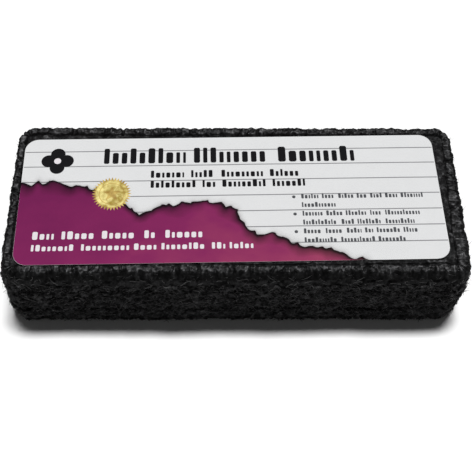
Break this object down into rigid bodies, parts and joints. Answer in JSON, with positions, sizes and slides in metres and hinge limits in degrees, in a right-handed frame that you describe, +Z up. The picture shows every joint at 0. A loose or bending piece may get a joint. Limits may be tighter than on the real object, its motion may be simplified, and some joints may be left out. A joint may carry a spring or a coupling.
{
  "type": "whiteboard eraser",
  "caption": "Rectangular block eraser of stacked black felt layers under a felt cover with a rolled rim, with a printed glossy label on top.",
  "frame": {"origin": "centre of the wiping face, on the surface that the eraser rests on", "axes": "+X along the length, +Y across the width, +Z up from the wiping face to the label"},
  "size_m": [0.127, 0.0508, 0.0254],
  "materials": {
    "felt": "black needled felt, cut edge, matt and fibrous",
    "cover_felt": "black felt pressed smooth, slight sheen on the rolled rim",
    "glue": "dried contact adhesive, dull",
    "label_adhesive": "clear pressure-sensitive adhesive",
    "label_paper": "printed white label paper",
    "label_film": "clear glossy film over the print"
  },
  "bodies": {
    "root": {"wiping_layer": "felt", "felt_layer_2": "felt", "felt_layer_3": "felt", "felt_layer_4": "felt", "felt_layer_5": "felt", "felt_layer_6": "felt", "glue_film_1": "glue", "glue_film_2": "glue", "glue_film_3": "glue", "glue_film_4": "glue", "glue_film_5": "glue", "glue_film_6": "glue", "top_cover": "cover_felt", "label_adhesive": "label_adhesive", "label_paper": "label_paper", "label_clear_film": "label_film"}
  },
  "joints": []
}
